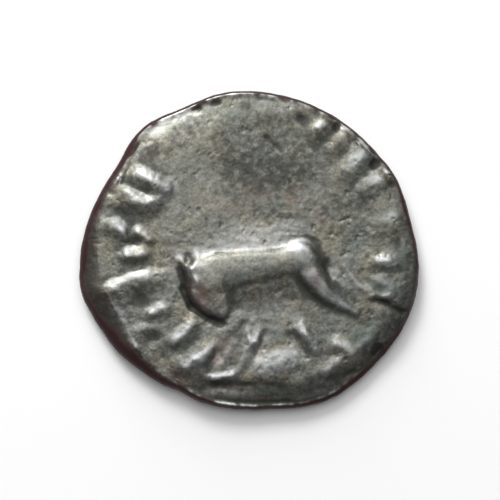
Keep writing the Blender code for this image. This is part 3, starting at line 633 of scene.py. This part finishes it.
def edge_strip(angle, rim_height, size):
    """Rows of points from the struck face's border down to the back's: each half of the edge goes out by the
    sine and down by half a straight and half a cosine run to the girdle, its widest line. The rim's
    unevenness fades on the way down, and clouds dent the whole edge."""
    edge = outline_frame(size)[0] * flan_share(angle)
    back_rim = back_height(*place(angle, edge - BACK_EDGE_INSET, size), size)
    girdle = back_rim + (0.50 - 0.24 * bell(angle, 200, 30)) * (rim_height - back_rim)
    down = np.linspace(0.0, 2.0, 2 * size.edge_rows + 1)[1:, None]
    upper = down <= 1.0
    run = np.where(upper, down, 2.0 - down)
    fall = 0.5 * run + 0.5 * (1.0 - np.cos(0.5 * math.pi * run))
    inset = np.where(upper, edge_inset(angle), BACK_EDGE_INSET)
    shifts = range(-RIM_EVENING, RIM_EVENING + 1)
    even_rim = np.mean([np.roll(rim_height, shift) for shift in shifts], axis=0)
    start = np.where(upper, even_rim + (rim_height - even_rim) * (1.0 - down) ** 3, back_rim)
    radius = edge - inset + inset * np.sin(0.5 * math.pi * run)
    z = start + (girdle - start) * fall
    x, y = place(angle, radius, size)
    dent = EDGE_DENT * (0.5 + 0.5 * cloud(x + 0.8 * z, y - 0.7 * z, 0.9, 3, 71))
    radius = radius - np.clip(dent * np.sin(0.5 * math.pi * down), 0.0, None) - EDGE_CLEARANCE
    x, y = place(angle, radius, size)
    # The whole edge gets a share of dark deposit that also paints its shade, and the spots' painted shade.
    deposit_and_shade = 0.45 + marked(x, y, STAINS_AND_PAINTED_LIGHT)
    marks = {"wear_and_glint": 0.10, "deposit_and_shade": deposit_and_shade, "gap": (edge - radius) / red_width(angle), "edge": 1.0}
    return np.stack([x, y, z], axis=-1), {**marks, "warm": 0.0, "cool": 0.0}


def back_face(size):
    """The back's grid, at half the cells of the struck face, and its marks."""
    cells = size.face_cells // 2
    angle, share = disc_grid(cells)
    full = outline_frame(size)[0] * flan_share(angle) - BACK_EDGE_INSET
    x, y = place(angle, share * (full - BACK_JOIN_WIDTH), size)
    z = back_height(x, y, size)
    broad = z - blurred(z, max(1, cells // 34))
    marks = {"wear_and_glint": smooth_step(-broad / 0.05), "deposit_and_shade": smooth_step(broad / 0.07), "gap": FAR_FROM_EDGE}
    return np.stack([x, y, z], axis=-1), {**marks, "edge": 0.0, "warm": 0.0, "cool": 0.0}


def coin_surface(size):
    """The whole closed surface: the struck face's grid, the rows of the edge, and the back's grid, whose
    border has half the points, so two cells of the last row meet one of its own.

    Returns points in mm, quads, triangles and each point's marks.
    """
    angle, face, face_marks = struck_face(size)
    face_index = np.arange(angle.size).reshape(angle.shape)
    rim = border_of(face_index)
    strip, strip_marks = edge_strip(angle.ravel()[rim], face[..., 2].ravel()[rim], size)
    strip_index = face_index.size + np.arange(strip[..., 0].size).reshape(strip.shape[:2])
    back, back_marks = back_face(size)
    back_index = face_index.size + strip_index.size + np.arange(back[..., 0].size).reshape(back.shape[:2])

    parts = ((face, face_marks), (strip, strip_marks), (back, back_marks))
    points = np.concatenate([part.reshape(-1, 3) for part, _ in parts])
    marks = {
        name: np.concatenate([np.broadcast_to(kept[name], part.shape[:2]).ravel() for part, kept in parts])
        for name in face_marks
    }
    marks["deposit_and_shade"] = np.clip(marks["deposit_and_shade"], 0.0, 2.0)

    rings = np.concatenate([rim[None, :], strip_index])
    rings = np.concatenate([rings, rings[:, :1]], axis=1)
    quads = np.concatenate([grid_faces(face_index), grid_faces(rings), grid_faces(back_index)[:, ::-1]])

    inner = border_of(back_index)
    inner = np.append(inner, inner[0])
    first, middle, last = rings[-1, :-1:2], rings[-1, 1::2], rings[-1, 2::2]
    corners = ((first, inner[:-1], middle), (middle, inner[:-1], inner[1:]), (middle, inner[1:], last))
    triangles = np.concatenate([np.stack(three, axis=-1) for three in corners])
    return points, quads, triangles, marks


def surface_object(name, points, quads, triangles, marks):
    """A mesh object of the points, with each mark kept as a number on them."""
    mesh = bpy.data.meshes.new(name)
    mesh.vertices.add(len(points))
    mesh.vertices.foreach_set("co", (points * MM).ravel())
    corners = np.concatenate([quads.ravel(), triangles.ravel()])
    counts = np.concatenate([np.full(len(quads), 4), np.full(len(triangles), 3)])
    mesh.loops.add(len(corners))
    mesh.loops.foreach_set("vertex_index", corners)
    mesh.polygons.add(len(counts))
    mesh.polygons.foreach_set("loop_start", np.concatenate([[0], np.cumsum(counts)[:-1]]))
    mesh.update(calc_edges=True)
    mesh.validate()
    for mark, values in marks.items():
        layer = mesh.attributes.new(mark, "FLOAT", "POINT")
        layer.data.foreach_set("value", values.astype(np.float32))
    mesh.shade_smooth()
    coin = bpy.data.objects.new(name, mesh)
    bpy.context.scene.collection.objects.link(coin)
    return coin


class NodeBench:
    """Short calls for wiring one material's nodes."""

    def __init__(self, material):
        self.tree = material.node_tree
        self.column = 0

    def add(self, kind, **values):
        node = self.tree.nodes.new(kind)
        node.location = (-1600 + 40 * self.column, 200 - 90 * (self.column % 9))
        self.column += 1
        for key, value in values.items():
            setattr(node, key, value)
        return node

    def join(self, source, target):
        self.tree.links.new(source, target)

    def put(self, socket, value):
        if isinstance(value, bpy.types.NodeSocket):
            self.join(value, socket)
        else:
            socket.default_value = value

    def noise(self, place, size, detail=3.0, rough=0.55):
        """Noise with features of the given size in metres."""
        node = self.add("ShaderNodeTexNoise")
        self.join(place, node.inputs["Vector"])
        node.inputs["Scale"].default_value = 1.0 / size
        node.inputs["Detail"].default_value = detail
        node.inputs["Roughness"].default_value = rough
        return node.outputs["Fac"]

    def mark(self, name):
        return self.add("ShaderNodeAttribute", attribute_name=name).outputs["Fac"]

    def span(self, value, low, high, start=0.0, end=1.0):
        """The value carried smoothly from low and high to start and end."""
        node = self.add("ShaderNodeMapRange", interpolation_type="SMOOTHSTEP")
        self.join(value, node.inputs["Value"])
        node.inputs["From Min"].default_value = low
        node.inputs["From Max"].default_value = high
        node.inputs["To Min"].default_value = start
        node.inputs["To Max"].default_value = end
        return node.outputs["Result"]

    def calc(self, operation, first, second):
        node = self.add("ShaderNodeMath", operation=operation)
        self.put(node.inputs[0], first)
        self.put(node.inputs[1], second)
        return node.outputs[0]

    def scaled(self, colour, factor):
        node = self.add("ShaderNodeVectorMath", operation="SCALE")
        self.join(colour, node.inputs[0])
        self.join(factor, node.inputs["Scale"])
        return node.outputs[0]

    def blend(self, share, first, second, how="MIX"):
        node = self.add("ShaderNodeMix", data_type="RGBA", blend_type=how)
        self.put(node.inputs["Factor"], share)
        self.put(node.inputs[6], first)
        self.put(node.inputs[7], second)
        return node.outputs[2]


def toned_silver(finish):
    """Old silver: grey-green toning with brown and teal clouds, dark deposits in hollows that also paint
    their shade, bare metal on worn crests that also paints highlights, and a dark red-brown line of painted
    shade round the edge."""
    material = bpy.data.materials.new("toned_silver")
    material.use_nodes = True
    bench = NodeBench(material)
    shader = material.node_tree.nodes["Principled BSDF"]
    spot = bench.add("ShaderNodeTexCoord").outputs["Object"]

    warm = bench.noise(spot, WARM_CLOUD, 3.0)
    cool = bench.noise(spot, COOL_CLOUD, 2.0)
    speck = bench.noise(spot, SPECK, 4.0, 0.65)
    grit = bench.noise(spot, GRIT, 2.0, 0.6)

    colour = bench.blend(bench.span(warm, 0.42, 0.66), (*finish.toning, 1.0), (*finish.warm_stain, 1.0))
    colour = bench.blend(bench.span(cool, 0.52, 0.74, 0.0, 0.6), colour, (*finish.cool_stain, 1.0))
    shade = bench.span(speck, 0.28, 0.72, 0.70, 1.30)
    shade = bench.calc("MULTIPLY", shade, bench.span(grit, 0.25, 0.75, 0.80, 1.20))
    colour = bench.scaled(colour, shade)

    brown = bench.calc("MULTIPLY", bench.mark("warm"), bench.span(warm, 0.3, 0.7, 0.35, 0.85))
    colour = bench.blend(brown, colour, (*finish.brown_spot, 1.0))
    teal = bench.calc("MULTIPLY", bench.mark("cool"), bench.span(cool, 0.3, 0.7, 0.25, 0.75))
    colour = bench.blend(teal, colour, (*finish.teal_spot, 1.0))
    # Bare silver where worn, which also paints the highlights of the pale spots and the rim's glints.
    wear_glint_share = bench.calc("MULTIPLY", bench.mark("wear_and_glint"), bench.span(speck, 0.32, 0.66, 0.60, 1.0))
    colour = bench.blend(bench.calc("MULTIPLY", wear_glint_share, 0.95), colour, (*finish.silver, 1.0))
    # Dark deposit in recesses and under stains, which also paints their shade.
    deposit_shade_mix = bench.calc("MULTIPLY", bench.mark("deposit_and_shade"), bench.span(speck, 0.30, 0.70, 1.0, 0.45))
    deposit_shade_mix = bench.span(deposit_shade_mix, 0.05, 0.85, 0.0, 0.92)
    colour = bench.blend(deposit_shade_mix, colour, (*finish.patina_and_shade, 1.0))
    band = bench.calc("MULTIPLY", bench.mark("edge"), bench.span(speck, 0.2, 0.8, 0.95, 0.7))
    colour = bench.blend(band, colour, (*finish.edge_tone, 1.0))
    # Painted deep shade: where the dark mark passes 1 the colour is darkened further.
    colour = bench.scaled(colour, bench.span(bench.mark("deposit_and_shade"), 1.0, 2.0, 1.0, 0.42))
    # Dark red-brown line along the outline: painted shade where the rim curves away.
    reach = bench.calc("ADD", bench.mark("gap"), bench.span(warm, 0.3, 0.7, -0.07, 0.07))
    rim_shade_line = bench.span(reach, 0.17, 0.44, 1.0, 0.0)
    colour = bench.blend(bench.calc("MULTIPLY", rim_shade_line, 0.94), colour, (*finish.edge_red, 1.0))
    bench.join(colour, shader.inputs["Base Color"])

    clean = bench.span(deposit_shade_mix, 0.0, 1.0, 1.0, 0.75)
    metal = bench.calc("MULTIPLY", clean, bench.span(rim_shade_line, 0.0, 1.0, 1.0, 0.25))
    bench.join(metal, shader.inputs["Metallic"])
    bench.join(bench.span(rim_shade_line, 0.0, 1.0, 0.5, 0.2), shader.inputs["Specular IOR Level"])
    gloss = bench.span(speck, 0.2, 0.8, finish.roughness - 0.06, finish.roughness + 0.10)
    gloss = bench.calc("ADD", gloss, bench.calc("MULTIPLY", deposit_shade_mix, 0.16))
    gloss = bench.calc("SUBTRACT", gloss, bench.calc("MULTIPLY", wear_glint_share, 0.08))
    bench.join(gloss, shader.inputs["Roughness"])

    bump = bench.add("ShaderNodeBump")
    bump.inputs["Strength"].default_value = 1.0
    bump.inputs["Distance"].default_value = BUMP_HEIGHT
    bench.join(bench.calc("ADD", speck, bench.calc("MULTIPLY", grit, 0.5)), bump.inputs["Height"])
    bench.join(bump.outputs["Normal"], shader.inputs["Normal"])
    return material


def floor_paint(colour):
    """Pale matt floor with the faintest cloud in it."""
    material = bpy.data.materials.new("floor_paint")
    material.use_nodes = True
    bench = NodeBench(material)
    shader = material.node_tree.nodes["Principled BSDF"]
    spot = bench.add("ShaderNodeTexCoord").outputs["Object"]
    darker = tuple(0.97 * part for part in colour)
    tint = bench.blend(bench.noise(spot, 0.05), (*colour, 1.0), (*darker, 1.0))
    bench.join(tint, shader.inputs["Base Color"])
    shader.inputs["Roughness"].default_value = 0.9
    shader.inputs["Specular IOR Level"].default_value = 0.1
    return material


def soft_light(name, azimuth, elevation, distance, width, power):
    """A square light that looks at the coin from the given direction. Azimuth 0 is the picture's top."""
    turn, rise = math.radians(azimuth), math.radians(elevation)
    away = Vector((math.sin(turn) * math.cos(rise), math.cos(turn) * math.cos(rise), math.sin(rise)))
    data = bpy.data.lights.new(name, "AREA")
    data.shape = "SQUARE"
    data.size = width
    data.energy = power
    light = bpy.data.objects.new(name, data)
    light.location = away * distance
    light.rotation_mode = "QUATERNION"
    light.rotation_quaternion = away.to_track_quat("Z", "Y")
    light.visible_camera = False
    bpy.context.scene.collection.objects.link(light)


def photo_camera(stage):
    """A long lens over the coin with the picture's top up, tilted a little off the vertical."""
    turn, rise = math.radians(stage.camera_azimuth), math.radians(stage.camera_elevation)
    back = Vector((math.sin(turn) * math.cos(rise), -math.cos(turn) * math.cos(rise), math.sin(rise)))
    right = Vector((0.0, 1.0, 0.0)).cross(back).normalized()
    data = bpy.data.cameras.new("camera")
    data.sensor_width = SENSOR_WIDTH
    data.lens = LENS
    distance = stage.frame_width * LENS / SENSOR_WIDTH
    camera = bpy.data.objects.new("camera", data)
    turned = Matrix((right, back.cross(right), back)).transposed().to_4x4()
    camera.matrix_world = Matrix.Translation(Vector(VIEW_CENTRE) + back * distance) @ turned
    data.clip_start = 0.1 * distance
    data.clip_end = 20.0
    bpy.context.scene.collection.objects.link(camera)
    bpy.context.scene.camera = camera


class CoinShape(bpy.types.PropertyGroup):
    """Sizes of the coin."""

    flan_diameter: FloatProperty(
        name="Flan Diameter", description="Twice the outline's mean reach",
        default=0.0186, min=0.005, unit="LENGTH"
    )
    field_height: FloatProperty(
        name="Field Height", description="Height of the face's field over the table",
        default=0.0015, unit="LENGTH"
    )
    beast_relief: FloatProperty(
        name="Beast Relief", description="Height of the beast over the field", default=0.00035, unit="LENGTH"
    )
    stroke_share: FloatProperty(
        name="Stroke Relief", description="Share of the border strokes' full height that is left",
        default=1.0, min=0.0
    )
    face_cells: IntProperty(
        name="Face Cells", description="Cells across the struck face, an even number",
        default=256, min=32, max=264
    )
    edge_rows: IntProperty(
        name="Edge Rows", description="Rows of cells in each half of the edge", default=6, min=2
    )


class CoinFinish(bpy.types.PropertyGroup):
    """Colours and gloss of the silver."""

    # Also the colour of the painted highlights.
    silver: FloatVectorProperty(
        name="Rubbed Silver", description="Bare metal on the crests",
        subtype="COLOR", default=(0.565, 0.577, 0.592)
    )
    toning: FloatVectorProperty(
        name="Toning", description="Grey of the field", subtype="COLOR", default=(0.168, 0.170, 0.150)
    )
    warm_stain: FloatVectorProperty(
        name="Warm Stain", description="Brown and olive clouds",
        subtype="COLOR", default=(0.188, 0.176, 0.140)
    )
    cool_stain: FloatVectorProperty(
        name="Cool Stain", description="Teal clouds", subtype="COLOR", default=(0.146, 0.166, 0.156)
    )
    brown_spot: FloatVectorProperty(
        name="Brown Spot", description="Reddish brown spots", subtype="COLOR", default=(0.192, 0.130, 0.112)
    )
    teal_spot: FloatVectorProperty(
        name="Teal Spot", description="Teal spots", subtype="COLOR", default=(0.116, 0.146, 0.130)
    )
    # Also the colour of painted shade in recesses and under the dark spots.
    patina_and_shade: FloatVectorProperty(
        name="Patina", description="Dark deposit in the hollows",
        subtype="COLOR", default=(0.056, 0.057, 0.050)
    )
    edge_tone: FloatVectorProperty(
        name="Edge Tone", description="Dark grey of the edge", subtype="COLOR", default=(0.079, 0.070, 0.060)
    )
    # Colour of the painted shade along the outline.
    edge_red: FloatVectorProperty(
        name="Edge Red", description="Red-brown line round the outline",
        subtype="COLOR", default=(0.034, 0.010, 0.011)
    )
    roughness: FloatProperty(
        name="Roughness", description="Roughness of the toned metal",
        subtype="FACTOR", default=0.45, min=0.05, max=1.0
    )


class CoinStage(bpy.types.PropertyGroup):
    """Floor, light and camera."""

    floor_colour: FloatVectorProperty(
        name="Floor", description="Colour of the floor", subtype="COLOR", default=(0.93, 0.93, 0.93)
    )
    window_power: FloatProperty(
        name="Window", description="Power of the broad soft light", default=1.64, unit="POWER"
    )
    key_power: FloatProperty(
        name="Key Light", description="Power of the small key light", default=0.72, unit="POWER"
    )
    low_power: FloatProperty(
        name="Low Light", description="Power of the light for steep slopes", default=0.42, unit="POWER"
    )
    sky: FloatProperty(name="Sky", description="Grey of the surroundings", subtype="FACTOR", default=0.16)
    camera_azimuth: FloatProperty(name="Camera Azimuth", description="Degrees round the coin", default=-40.0)
    camera_elevation: FloatProperty(
        name="Camera Elevation", description="Degrees over the table", default=86.0
    )
    frame_width: FloatProperty(
        name="Frame Width", description="Width of the view at the coin", default=0.02718, unit="LENGTH"
    )


class COIN_OT_strike(bpy.types.Operator):
    """Make the coin's struck surface and tone it"""

    bl_idname = "coin.strike"
    bl_label = "Strike Coin"

    def execute(self, context):
        coin = surface_object("struck_coin", *coin_surface(context.scene.coin_shape))
        coin.data.materials.append(toned_silver(context.scene.coin_finish))
        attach(coin, "root")
        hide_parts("coin")
        return {"FINISHED"}


class COIN_OT_stage(bpy.types.Operator):
    """Set the floor, the lights and the camera"""

    bl_idname = "coin.stage"
    bl_label = "Set Stage"

    def execute(self, context):
        stage = context.scene.coin_stage
        mesh = bpy.data.meshes.new("floor")
        far = FLOOR_REACH
        corners = [(-far, -far, 0.0), (far, -far, 0.0), (far, far, 0.0), (-far, far, 0.0)]
        mesh.from_pydata(corners, [], [(0, 1, 2, 3)])
        floor = bpy.data.objects.new("floor", mesh)
        mesh.materials.append(floor_paint(stage.floor_colour))
        context.scene.collection.objects.link(floor)

        soft_light(*WINDOW, stage.window_power)
        soft_light(*KEY_LIGHT, stage.key_power)
        soft_light(*LOW_LIGHT, stage.low_power)
        world = bpy.data.worlds.new("studio")
        world.use_nodes = True
        background = world.node_tree.nodes["Background"]
        background.inputs["Color"].default_value = (stage.sky, stage.sky, stage.sky, 1.0)
        context.scene.world = world
        context.scene.view_settings.view_transform = "Standard"
        photo_camera(stage)
        return {"FINISHED"}


class COIN_PT_panel(bpy.types.Panel):
    """Sizes, colours and buttons of the coin"""

    bl_label = "Ancient Coin"
    bl_space_type = "VIEW_3D"
    bl_region_type = "UI"
    bl_category = "Coin"

    def draw(self, context):
        for group in (context.scene.coin_shape, context.scene.coin_finish, context.scene.coin_stage):
            box = self.layout.box()
            for name in group.__annotations__:
                box.prop(group, name)
        self.layout.operator(COIN_OT_strike.bl_idname)
        self.layout.operator(COIN_OT_stage.bl_idname)


CLASSES = (CoinShape, CoinFinish, CoinStage, COIN_OT_strike, COIN_OT_stage, COIN_PT_panel)


def register():
    for kind in CLASSES:
        bpy.utils.register_class(kind)
    bpy.types.Scene.coin_shape = PointerProperty(type=CoinShape)
    bpy.types.Scene.coin_finish = PointerProperty(type=CoinFinish)
    bpy.types.Scene.coin_stage = PointerProperty(type=CoinStage)


def unregister():
    del bpy.types.Scene.coin_stage
    del bpy.types.Scene.coin_finish
    del bpy.types.Scene.coin_shape
    for kind in reversed(CLASSES):
        bpy.utils.unregister_class(kind)


def main():
    register()
    bpy.ops.coin.strike()
    bpy.ops.coin.stage()


if __name__ == "__main__":
    main()
